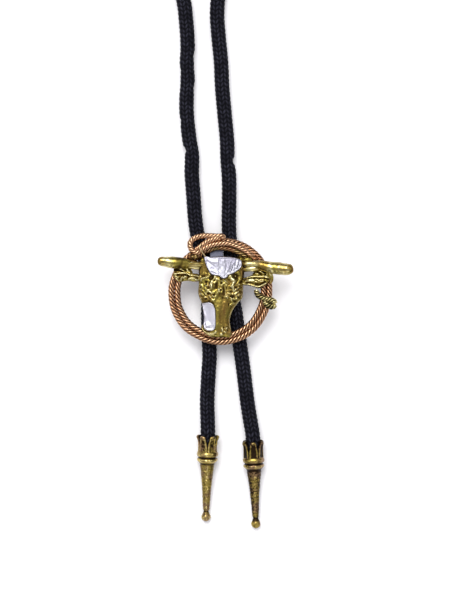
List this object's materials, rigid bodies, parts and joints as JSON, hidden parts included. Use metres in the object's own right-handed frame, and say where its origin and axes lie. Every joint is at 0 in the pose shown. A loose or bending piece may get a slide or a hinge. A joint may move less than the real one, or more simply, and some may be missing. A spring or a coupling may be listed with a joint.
{
  "type": "string tie",
  "caption": "String tie laid flat: a braided cord round the neck, run through a cast steer-head slide on a coiled lariat, with a flared cast tip on each end.",
  "frame": {"origin": "on the surface that the tie lies on, at the clip's flat underside, behind the middle of the coil", "axes": "+X to the right and +Y up towards the neck as the front is looked at, +Z out of the front, off the surface"},
  "size_m": [0.1409, 0.4352, 0.0166],
  "materials": {
    "black_braid": "black braided cord",
    "antique_brass": "polished on the high places, dark in the low ones",
    "copper": "copper-coloured, dark between the strands",
    "silver": "polished, softly hammered",
    "nickel": "satin"
  },
  "bodies": {
    "root": {"neck_loop": "black_braid", "left_tail": "black_braid", "right_tail": "black_braid", "left_tip": "antique_brass", "right_tip": "antique_brass", "steer_head": "antique_brass", "forehead_plate": "silver", "muzzle_plate": "silver", "lariat": "copper", "lariat_knot": "antique_brass", "back_clip": "nickel"}
  },
  "joints": []
}
